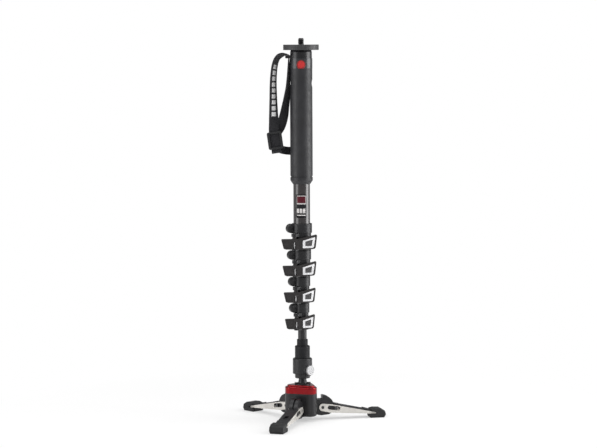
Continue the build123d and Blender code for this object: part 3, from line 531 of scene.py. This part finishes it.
# Routes: (x, y, z) in millimetres, the width's turn from the Y axis in degrees, and the way
# that the width turns to. The loop runs from behind the slider up to the lug and down again,
# the tail from the slider to the grip.
TO_RIGHT = (1, 0, 0)
DOWNWARD = (0, 0, -1)
SLIDER_SIDE = (0.990, 0, 0.139)
LOOP = (
    (-41.9, 3.0, 452.0, 90, SLIDER_SIDE),
    (-42.7, 3.0, 458.4, 90, SLIDER_SIDE),
    (-39.4, 3.3, 467.0, 86, TO_RIGHT),
    (-33.8, 3.4, 476.0, 78, TO_RIGHT),
    (-28.7, 2.1, 490.4, 62, TO_RIGHT),
    (-25.6, 0.9, 506.9, 46, TO_RIGHT),
    (-22.9, 0.3, 523.4, 34, TO_RIGHT),
    (-21.0, 0.1, 539.9, 22, TO_RIGHT),
    (-20.2, 0.0, 556.4, 14, TO_RIGHT),
    (-19.8, 0.0, 571.5, 8, TO_RIGHT),
    (-19.7, 0.0, 583.2, 2, TO_RIGHT),
    (-19.7, 0.0, 589.4, 0, TO_RIGHT),
    (-20.3, 0.0, 590.9, 0, TO_RIGHT),
    (-21.8, 0.0, 591.5, 0, DOWNWARD),
    (-25.2, 0.0, 591.6, 7, DOWNWARD),
    (-28.5, 0.0, 591.2, 18, DOWNWARD),
    (-32.1, 0.0, 590.1, 26, DOWNWARD),
    (-35.9, 0.0, 587.8, 31, (0.3, 0, -0.95)),
    (-39.2, -0.1, 583.2, 31, (0.8, 0, -0.6)),
    (-41.8, -0.2, 575.4, 33, TO_RIGHT),
    (-43.5, -0.5, 564.4, 34, TO_RIGHT),
    (-44.7, -0.9, 546.1, 37, TO_RIGHT),
    (-44.7, -1.4, 520.0, 44, TO_RIGHT),
    (-44.4, -1.8, 498.0, 56, TO_RIGHT),
    (-44.1, -2.1, 480.0, 74, TO_RIGHT),
    (-44.1, -2.6, 468.0, 90, SLIDER_SIDE),
    (-42.0, -2.6, 452.5, 90, SLIDER_SIDE),
    (-39.8, -2.6, 436.8, 90, SLIDER_SIDE),
    (-39.5, -1.8, 434.8, 90, SLIDER_SIDE),
    (-39.4, 0.2, 434.0, 90, SLIDER_SIDE),
    (-39.5, 2.2, 434.8, 90, SLIDER_SIDE),
    (-39.8, 3.0, 436.8, 90, SLIDER_SIDE),
    (-41.9, 3.0, 452.0, 90, SLIDER_SIDE),
)
TAIL = (
    (-41.0, 4.8, 441.6, 90, (0, 0, 1)),
    (-36.0, 4.9, 440.2, 90, (0, 0, 1)),
    (-30.5, 5.5, 438.4, 90, (0, 0, 1)),
    (-23.9, 8.8, 437.0, 90, (0, 0, 1)),
    (-15.9, 14.9, 436.2, 90, (0, 0, 1)),
    (-8.0, 19.2, 435.6, 90, (0, 0, 1)),
    (0.0, 20.6, 435.3, 90, (0, 0, 1)),
)


class Ribbon:
    """A smooth route with a width direction, found at any distance along it."""

    samples = 10  # places worked out between two points of the route

    def __init__(self, route):
        spots, widths = [], []
        for x, y, z, turn, way in route:
            spots.append(Vector((x, y, z)) * MM)
            width = Vector((0, 1, 0)) * cos(radians(turn)) + Vector(way) * sin(radians(turn))
            widths.append(width.normalized())
        ways = [
            (spots[min(i + 1, len(spots) - 1)] - spots[max(i - 1, 0)]).normalized()
            for i in range(len(spots))
        ]
        dense = []
        for i in range(len(spots) - 1):
            reach = (spots[i + 1] - spots[i]).length / 3
            handles = spots[i] + ways[i] * reach, spots[i + 1] - ways[i + 1] * reach
            curve = interpolate_bezier(spots[i], *handles, spots[i + 1], self.samples + 1)
            for k in range(self.samples):
                width = widths[i].lerp(widths[i + 1], k / self.samples)
                dense.append((curve[k], width))
        dense.append((spots[-1], widths[-1]))
        runs = [0.0]
        for (a, _), (b, _) in zip(dense, dense[1:]):
            runs.append(runs[-1] + (b - a).length)
        self.dense, self.runs, self.length = dense, runs, runs[-1]

    def at(self, distance):
        """Place, width direction and face direction at a distance along the route."""
        distance = min(max(distance, 0), self.length)
        i = next((k for k in range(1, len(self.runs)) if self.runs[k] >= distance), 1)
        span = max(self.runs[i] - self.runs[i - 1], 1e-9)
        ease = (distance - self.runs[i - 1]) / span
        spot = self.dense[i - 1][0].lerp(self.dense[i][0], ease)
        width = self.dense[i - 1][1].lerp(self.dense[i][1], ease)
        along = (self.dense[i][0] - self.dense[i - 1][0]).normalized()
        width = (width - along * width.dot(along)).normalized()
        return spot, width, width.cross(along)

    def nearest(self, height, first, last):
        """The distance, between two shares of the length, whose height is the nearest."""
        tries = 400
        picks = [self.length * (first + (last - first) * k / tries) for k in range(tries + 1)]
        return min(picks, key=lambda d: abs(self.at(d)[0].z - height))

    def mesh(self, width, start=0.0, end=None, lift=0.0, columns=8):
        """A grid bent along part of the route, mapped in metres."""
        end = self.length if end is None else end
        rows = max(2, round((end - start) / ROW_PITCH))
        made = bmesh.new()
        bmesh.ops.create_grid(made, x_segments=columns, y_segments=rows, size=0.5, calc_uvs=True)
        chart = made.loops.layers.uv.verify()
        flat = {
            vert: (vert.co.x * width, start + (vert.co.y + 0.5) * (end - start))
            for vert in made.verts
        }
        for face in made.faces:
            for loop in face.loops:
                loop[chart].uv = flat[loop.vert]
        for vert, (across, along) in flat.items():
            spot, side, face_way = self.at(along)
            vert.co = spot + side * across + face_way * lift
        return made


def stitches(ribbon, rows, count, thickness):
    """Short thread lengths lying on the webbing, in rows across it."""
    made = bmesh.new()
    stretch = Matrix.Diagonal((STITCH_PITCH * 0.72, 0.42 * MM, 0.36 * MM, 1))
    for row in rows:
        spot, side, face_way = ribbon.at(row)
        turn = Matrix((side, side.cross(face_way), face_way)).transposed().to_4x4()
        for k in range(count):
            aside = (k - (count - 1) / 2) * STITCH_PITCH
            centre = spot + side * aside + face_way * (thickness / 2 + 0.10 * MM)
            grown = bmesh.ops.create_cube(made, size=1.0)["verts"]
            where = Matrix.Translation(centre) @ turn @ stretch
            bmesh.ops.transform(made, matrix=where, verts=grown)
    return closed(made)


# Clamp fastenings, in the places that the solids give them

TUBE_STEP = 1.6 * MM  # from one tube's radius to the next one's
BOSS_AZIMUTH = radians(200)
BOSS_REACH = 5.6 * MM  # from the tube to the boss's axis
BOSS_DROP = 7.7 * MM  # from the collar's top to the boss's axis
POCKET_FLOOR = 1.8 * MM


# Steps


class MONOPOD_OT_finishes(bpy.types.Operator):
    """Make every finish and put it on the frame's own parts"""

    bl_idname = "monopod.finishes"
    bl_label = "Finishes"

    def execute(self, context):
        colours, sizes = context.scene.monopod_colours, context.scene.monopod_sizes
        for slot, make in FINISHES.items():
            plain = bpy.data.materials[slot]
            plain.user_remap(make(colours, sizes))
            bpy.data.materials.remove(plain)
            bpy.data.materials[f"{slot}_finish"].name = slot
        self.own_finishes(colours, sizes)
        self.soft_edges(colours, sizes)
        return {"FINISHED"}

    def own_finishes(self, colours, sizes):
        """Finishes of pieces that differ from the rest of their slot."""
        pin = mottled("pin_black", colours.black, 0.3, grain=900, bump=0.06)[0]
        latch = mottled("latch_grey", colours.band, 0.4, grain=900, bump=0.06)[0]
        disc = mottled("plate_grey", colours.plate, 0.5, grain=1500, bump=0.12, metallic=0.2)[0]
        quiet = mottled("quiet_black", colours.black, 0.5, grain=2600, bump=0.12, specular=0.2)[0]
        own = {
            "leg_hinge_pins": pin,
            "camera_plate": disc,
            "lock_button": brushed(
                "button_silver", tinted(colours.silver, 0.43), roughness=0.36, metallic=0.55
            ),
            "tube_socket": quiet,
            "barrel": quiet,
            "tube_5": finish_carbon(colours, sizes, "lower_carbon", share=0.3, coat=0.1),
            "grip_screws": latch,
            **{f"leg_{number}_latch": latch for number in (1, 2, 3)},
        }
        for name, made in own.items():
            frame["nodes"][name].data.materials[0] = made

    def soft_edges(self, colours, sizes):
        """Rounds the sharp edges, with a paler rim on the levers as a painted highlight."""
        # painted highlight: a pale finish on the levers' bevels, standing in for light caught on their rounded
        # edges
        painted_rim_highlight = mottled("lever_rim", colours.rim, 0.35, grain=2100, bump=0.2)[0]
        for name, part in frame["nodes"].items():
            if name in SHARP_PIECES or name.startswith(("lever_", "leg_")):
                edge = part.modifiers.new("Edge", "BEVEL")
                edge.width, edge.segments, edge.profile = sizes.edge_width, 2, 0.5
                edge.limit_method, edge.angle_limit = "ANGLE", radians(40)
                # the levers' bevels take the painted highlight finish
                if name in LEVERS:
                    part.data.materials.append(painted_rim_highlight)
                    edge.width, edge.material = sizes.lever_edge_width, 1


class MONOPOD_OT_camera_screw(bpy.types.Operator):
    """Cut the camera screw's thread"""

    bl_idname = "monopod.camera_screw"
    bl_label = "Camera screw"

    def execute(self, context):
        sizes = context.scene.monopod_sizes
        low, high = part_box("camera_screw")
        plate_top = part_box("camera_plate")[1].z
        mount = next(m for m in frame["record"]["mounts"] if m["name"] == "camera_screw")
        radius = mount["dims"]["r_mm"] * MM
        root = radius - sizes.thread_depth
        head_radius, head_height, lead, undercut = high.x, 3.6 * MM, 0.9 * MM, 0.3 * MM
        head_top, top = low.z + head_height, high.z
        mesh = bmesh.new()
        turned(mesh, (
            (0, low.z), (head_radius, low.z), (head_radius, head_top), (radius, head_top),
            (radius, plate_top), (root, plate_top + undercut), (root, top - lead),
            (root - lead * 0.6, top), (0, top),
        ))
        closed(mesh)
        turns = int((top - lead - plate_top) / sizes.thread_pitch)
        join_in(mesh, self.thread(root, radius, plate_top, turns, sizes.thread_pitch))
        colours = context.scene.monopod_colours
        dark = brushed("screw_steel", colours.screw, roughness=0.34, metallic=0.8)
        piece = new_piece("threaded_screw", mesh, dark, "section_1", radians(25))
        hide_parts("camera_screw")
        return {"FINISHED"}

    def thread(self, root, radius, plate_top, turns, pitch):
        """The ridge, its foot sunk a little into the core and its start into the plate."""
        foot, start = root - 0.05 * MM, plate_top - 0.2 * MM
        crest, half_crest = 0.5, 0.07
        ridge = bmesh.new()
        section = (
            (foot, 0), (radius, crest - half_crest), (radius, crest + half_crest), (foot, 1)
        )
        flank = ridge.faces.new([
            ridge.verts.new((reach, 0, start + share * pitch)) for reach, share in section
        ])
        steps = 48 * turns
        bmesh.ops.spin(
            ridge, geom=[flank], cent=(0, 0, 0), axis=(0, 0, 1), angle=2 * pi * turns,
            steps=steps, dvec=(0, 0, pitch * turns / steps),
        )
        return closed(ridge)


class MONOPOD_OT_wrist_strap(bpy.types.Operator):
    """Weave the wrist strap, its tail, its stitching and its plain pale bars"""

    bl_idname = "monopod.wrist_strap"
    bl_label = "Wrist strap"

    def execute(self, context):
        sizes = context.scene.monopod_sizes
        cloth, body = finish("webbing"), "section_1"
        loop, tail = Ribbon(LOOP), Ribbon(TAIL)
        width, wall, rounding = sizes.strap_width, sizes.strap_thickness, 0.45 * MM
        piece = new_piece("webbing_loop", loop.mesh(width), cloth, body, pi)
        thick(piece, wall, round_edge=rounding)
        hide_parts("wrist_strap")
        piece = new_piece("webbing_tail", tail.mesh(width * 0.8), cloth, body, pi)
        thick(piece, wall, round_edge=rounding)
        self.marks(context, loop, width, wall)
        colours = context.scene.monopod_colours
        thread = mottled("thread", colours.thread, 0.6, grain=3000, bump=0.2)[0]
        near_lug = loop.nearest(LUG_STITCHES_HEIGHT, 0.5, 0.62)
        rows = [near_lug, near_lug + STITCH_ROW_GAP]
        sewn = stitches(loop, rows, 6, wall)
        new_piece("lug_stitches", sewn, thread, body)
        rows = [tail.length * share for share in TAIL_STITCH_SHARES]
        sewn = stitches(tail, rows, 5, wall)
        new_piece("tail_stitches", sewn, thread, body)
        return {"FINISHED"}

    def marks(self, context, loop, width, wall):
        """Plain bars of equal size along the outer length."""
        colours, sizes = context.scene.monopod_colours, context.scene.monopod_sizes
        ink = mottled("strap_marks", colours.mark, 0.6, shade=0.12, grain=2500, bump=0.4)[0]
        top = loop.nearest(BARS_TOP, 0.5, 1)
        bottom = loop.nearest(BARS_BOTTOM, 0.5, 0.9)
        pitch = (bottom - top) / sizes.mark_count
        made = bmesh.new()
        for k in range(sizes.mark_count):
            start = top + k * pitch
            lift = self.sign(loop, start) * wall * 0.53
            bar = loop.mesh(width * 0.52, start, start + pitch * 0.72, lift, columns=4)
            join_in(made, bar)
        piece = new_piece("strap_marks", made, ink, "section_1", pi)
        thick(piece, 0.12 * MM)

    def sign(self, loop, distance):
        """Which side of the webbing faces the front."""
        return -1 if loop.at(distance)[2].y > 0 else 1


class MONOPOD_OT_label(bpy.types.Operator):
    """Wrap the plain label blocks round the largest tube"""

    bl_idname = "monopod.label"
    bl_label = "Tube label"

    def execute(self, context):
        colours, sizes = context.scene.monopod_colours, context.scene.monopod_sizes
        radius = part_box("tube_1")[1].x
        ink = mottled("label_black", colours.gloss, 0.45, grain=500, bump=0.02, specular=0.25)[0]
        pale = mottled("label_pale", colours.label, 0.45, shade=0.1, grain=1500, bump=0.05)[0]
        crimson = mottled(
            "label_crimson", colours.crimson, 0.5, shade=0.3, grain=900, bump=0.05, specular=0.2
        )[0]
        left, right = FRONT - radians(40), FRONT + radians(33)
        rim = radians(4.5)
        bar_start, bar_pitch = left + rim, (right - left - 1.6 * rim) / 3
        # Name, lower and upper height in millimetres, both azimuths, finish, lifts above the tube
        patches = (
            ("label_ground", 330.0, 367.5, left, right, ink, 1.0),
            ("label_frame", 351.6, 365.6, left + rim, right - rim, pale, 1.6),
            ("label_block", 353.6, 364.4, left + 1.5 * rim, right - 1.5 * rim, crimson, 2.2),
            *(
                (
                    f"label_bar_{k + 1}", 337.4, 344.8, bar_start + k * bar_pitch,
                    bar_start + (k + 0.78) * bar_pitch, pale, 1.6,
                )
                for k in range(3)
            ),
            ("label_line", 333.2, 334.8, left + 1.4 * rim, right - 1.4 * rim, pale, 1.6),
        )
        for name, low, high, start, end, material, lift in patches:
            thickness = lift * sizes.label_lift
            label_patch(name, radius, low * MM, high * MM, start, end, material, thickness)
        return {"FINISHED"}


class MONOPOD_OT_badge_rim(bpy.types.Operator):
    """Edge the plain badge with a darker raised rim"""

    bl_idname = "monopod.badge_rim"
    bl_label = "Badge rim"

    def execute(self, context):
        colours = context.scene.monopod_colours
        low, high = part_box("badge")
        centre = (low + high) / 2
        radius, face = (high.x - low.x) / 2, -low.y
        rim = mottled("badge_rim", tinted(colours.badge, 0.42), 0.3, grain=400, coat=0.6)[0]
        rise, edge = 0.30 * MM, 0.05 * MM
        mesh = bmesh.new()
        turned(mesh, (
            (radius * 0.80, 0), (radius * 0.82, rise), (radius * 0.97, rise), (radius * 0.995, edge)
        ))
        bmesh.ops.rotate(mesh, verts=mesh.verts, matrix=Matrix.Rotation(pi / 2, 3, "X"))
        for vert in mesh.verts:
            curve = sqrt(max(face * face - vert.co.x * vert.co.x, 0))
            vert.co = Vector((vert.co.x, vert.co.y - curve, vert.co.z + centre.z))
        new_piece("badge_rim", closed(mesh), rim, "section_1")
        return {"FINISHED"}


class MONOPOD_OT_fastenings(bpy.types.Operator):
    """Give each clamp its hinge pin and socket-head bolt"""

    bl_idname = "monopod.fastenings"
    bl_label = "Clamp fastenings"

    def execute(self, context):
        for number in range(1, 5):
            body = f"section_{number}"
            bottom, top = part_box(f"clamp_{number}_collar")
            joint = next(j for j in frame["joints"] if j["name"] == f"lever_{number}_hinge")
            mesh = self.hinge_pin(Vector(joint["pos_m"]), bottom.z)
            pin = new_piece(f"clamp_{number}_pin", mesh, finish("bezel_silver"), body)
            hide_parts(f"clamp_{number}_hardware")
            mesh = self.bolt(number, top.z - BOSS_DROP)
            new_piece(f"clamp_{number}_bolt", mesh, finish("pin_black_finish"), body)
        return {"FINISHED"}

    def hinge_pin(self, spot, bottom):
        """An upright pin with rounded ends on a lever's axis."""
        radius, end_radius, chamfer, length = 1.6 * MM, 1.28 * MM, 0.3 * MM, 27.3 * MM
        top = bottom + length
        mesh = bmesh.new()
        turned(mesh, (
            (0, bottom), (end_radius, bottom), (radius, bottom + chamfer), (radius, top - chamfer),
            (end_radius, top), (0, top),
        ), steps=32)
        bmesh.ops.translate(mesh, verts=mesh.verts, vec=(spot.x, spot.y, 0))
        return closed(mesh)

    def bolt(self, number, height):
        """A socket head in the pocket of the clamp's boss."""
        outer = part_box("tube_1")[1].x - (number - 1) * TUBE_STEP
        way = Vector((cos(BOSS_AZIMUTH + pi / 2), sin(BOSS_AZIMUTH + pi / 2), 0))
        spot = Vector((cos(BOSS_AZIMUTH), sin(BOSS_AZIMUTH), 0)) * (outer + BOSS_REACH)
        spot += way * POCKET_FLOOR
        spot.z = height
        turn = way.to_track_quat("Z", "Y").to_matrix().to_4x4()
        head = self.socket_head()
        bmesh.ops.transform(head, matrix=Matrix.Translation(spot) @ turn, verts=head.verts)
        return head

    def socket_head(self):
        """A round bolt head with a hexagonal socket, facing +Z."""
        radius, height = 4.4 * MM, 2.0 * MM
        socket, depth, margin = 2.3 * MM, 1.4 * MM, 0.2 * MM
        head = bmesh.new()
        made = bmesh.ops.create_circle(head, cap_ends=True, radius=radius, segments=48)
        base = made["verts"][0].link_faces[0]
        grown = bmesh.ops.extrude_face_region(head, geom=[base])["geom"]
        top = [g for g in grown if isinstance(g, bmesh.types.BMVert)]
        bmesh.ops.translate(head, verts=top, vec=(0, 0, height))
        cap = next(g for g in grown if isinstance(g, bmesh.types.BMFace))
        bmesh.ops.inset_region(head, faces=[cap], thickness=radius - socket - margin)
        for vert in cap.verts:
            angle = atan2(vert.co.y, vert.co.x)
            flat = (angle % (pi / 3)) - pi / 6
            reach = socket * cos(pi / 6) / cos(flat)
            vert.co.x, vert.co.y = reach * cos(angle), reach * sin(angle)
        grown = bmesh.ops.extrude_face_region(head, geom=[cap])["geom"]
        floor = [g for g in grown if isinstance(g, bmesh.types.BMVert)]
        bmesh.ops.translate(head, verts=floor, vec=(0, 0, -depth))
        bmesh.ops.delete(head, geom=[cap], context="FACES_ONLY")
        return closed(head)


class MONOPOD_OT_stage(bpy.types.Operator):
    """Set the pale floor, the soft lights and the camera"""

    bl_idname = "monopod.stage"
    bl_label = "Stage"

    def execute(self, context):
        colours = context.scene.monopod_colours
        self.floor(colours)
        self.world()
        target = Vector((0, 0, 0.30))
        # Name, place, width and height in metres, power in watts
        lamps = (
            ("key", (-1.2, -1.7, 2.7), 1.5, 1.2, 24),
            ("fill", (1.6, -2.2, 2.4), 1.0, 1.0, 6),
            ("left_softbox", (-1.10, -0.43, 0.50), 0.66, 1.3, 7.2),
            ("right_softbox", (1.18, -0.12, 0.50), 0.84, 1.3, 16.5),
            ("top", (0.1, 0.3, 2.2), 1.6, 1.6, 18),
        )
        for name, spot, width, height, power in lamps:
            self.lamp(name, Vector(spot), target, width, height, power)
        self.camera(context)
        return {"FINISHED"}

    def floor(self, colours):
        """A plain floor for the object to stand on."""
        mesh = bmesh.new()
        bmesh.ops.create_grid(mesh, x_segments=4, y_segments=4, size=6)
        data = bpy.data.meshes.new("studio_floor")
        mesh.to_mesh(data)
        mesh.free()
        data.materials.append(self.floor_finish(colours))
        floor = bpy.data.objects.new("studio_floor", data)
        bpy.context.scene.collection.objects.link(floor)

    def floor_finish(self, colours):
        """Pale where the object stands, fading to plain white for the camera further out."""
        made, tree, shader = new_surface("studio_floor", colours.floor, 0.6)
        where = place(tree)
        shade = noise(tree, where, 3, 2)
        tone = between(tree, shade, colours.floor, tinted(colours.floor, 0.985))
        feed(tree, shader.inputs["Base Color"], tone)
        seen = node(tree, "ShaderNodeLightPath").outputs["Is Camera Ray"]
        glow = node(tree, "ShaderNodeEmission")
        glow.inputs["Color"].default_value = (1, 1, 1, 1)
        glow.inputs["Strength"].default_value = 1.0
        reach = node(tree, "ShaderNodeVectorMath", operation="LENGTH")
        tree.links.new(where, reach.inputs[0])
        near_share, near, far = 0.45, 0.2, 0.55
        white = spread(tree, reach.outputs["Value"], near_share, 1, near, far)
        share = maths(tree, "MULTIPLY", seen, white)
        mix = node(tree, "ShaderNodeMixShader")
        feed(tree, mix.inputs[0], share)
        tree.links.new(shader.outputs[0], mix.inputs[1])
        tree.links.new(glow.outputs[0], mix.inputs[2])
        tree.links.new(mix.outputs[0], tree.nodes["Material Output"].inputs["Surface"])
        return made

    def world(self):
        """White behind the object, softer as a light and in reflections."""
        world = bpy.data.worlds.new("studio")
        bpy.context.scene.world = world
        world.use_nodes = True
        tree = world.node_tree
        back = tree.nodes["Background"]
        back.inputs["Color"].default_value = (1, 1, 1, 1)
        rays = node(tree, "ShaderNodeLightPath")
        seen = maths(
            tree, "MAXIMUM", rays.outputs["Is Camera Ray"], rays.outputs["Is Transmission Ray"]
        )
        light = 0.34
        feed(tree, back.inputs["Strength"], maths(tree, "MAXIMUM", seen, light))

    def lamp(self, name, spot, target, width, height, power):
        """A soft rectangular lamp aimed at the object."""
        data = bpy.data.lights.new(name, "AREA")
        data.shape = "RECTANGLE"
        data.size, data.size_y, data.energy = width, height, power
        lamp = bpy.data.objects.new(name, data)
        lamp.location = spot
        lamp.rotation_euler = (target - spot).to_track_quat("-Z", "Y").to_euler()
        bpy.context.scene.collection.objects.link(lamp)

    def camera(self, context):
        """The photograph's viewpoint, worked out from the tubes' widths and heights."""
        # In the photograph's pixels, the lean as a slope
        frame_width = 597
        focal, aim_drop, side_step, lean = 2117.36, 180.0, 3.31, 0.00487
        viewpoint = (0, -3.4, 0.608)
        data = bpy.data.cameras.new("camera")
        data.sensor_width = 36
        data.lens = focal / frame_width * data.sensor_width
        data.shift_x = -side_step / frame_width
        data.clip_start, data.clip_end = 0.1, 60
        camera = bpy.data.objects.new("camera", data)
        pitch = pi / 2 - atan(aim_drop / focal)
        camera.matrix_world = (
            Matrix.Translation(viewpoint)
            @ Matrix.Rotation(pitch, 4, "X")
            @ Matrix.Rotation(-atan(lean), 4, "Z")
        )
        context.scene.collection.objects.link(camera)
        context.scene.camera = camera
        context.scene.view_settings.view_transform = "Standard"


OPERATORS = (
    MONOPOD_OT_stage,
    MONOPOD_OT_finishes,
    MONOPOD_OT_camera_screw,
    MONOPOD_OT_wrist_strap,
    MONOPOD_OT_label,
    MONOPOD_OT_badge_rim,
    MONOPOD_OT_fastenings,
)


class MONOPOD_PT_panel(bpy.types.Panel):
    """Lists the steps that dress the monopod"""

    bl_idname = "MONOPOD_PT_panel"
    bl_label = "Monopod"
    bl_space_type = "VIEW_3D"
    bl_region_type = "UI"
    bl_category = "Monopod"

    def draw(self, context):
        for operator in OPERATORS:
            self.layout.operator(operator.bl_idname)
        for group in (context.scene.monopod_sizes, context.scene.monopod_colours):
            box = self.layout.box()
            for name in group.bl_rna.properties.keys():
                if name not in ("rna_type", "name"):
                    box.prop(group, name)


CLASSES = (MonopodColours, MonopodSizes, *OPERATORS, MONOPOD_PT_panel)


def register():
    for cls in CLASSES:
        bpy.utils.register_class(cls)
    bpy.types.Scene.monopod_colours = PointerProperty(type=MonopodColours)
    bpy.types.Scene.monopod_sizes = PointerProperty(type=MonopodSizes)


def unregister():
    del bpy.types.Scene.monopod_sizes
    del bpy.types.Scene.monopod_colours
    for cls in reversed(CLASSES):
        bpy.utils.unregister_class(cls)


def main():
    """Dresses the frame."""
    register()
    for operator in OPERATORS:
        family, step = operator.bl_idname.split(".")
        getattr(getattr(bpy.ops, family), step)()


if __name__ == "__main__":
    main()
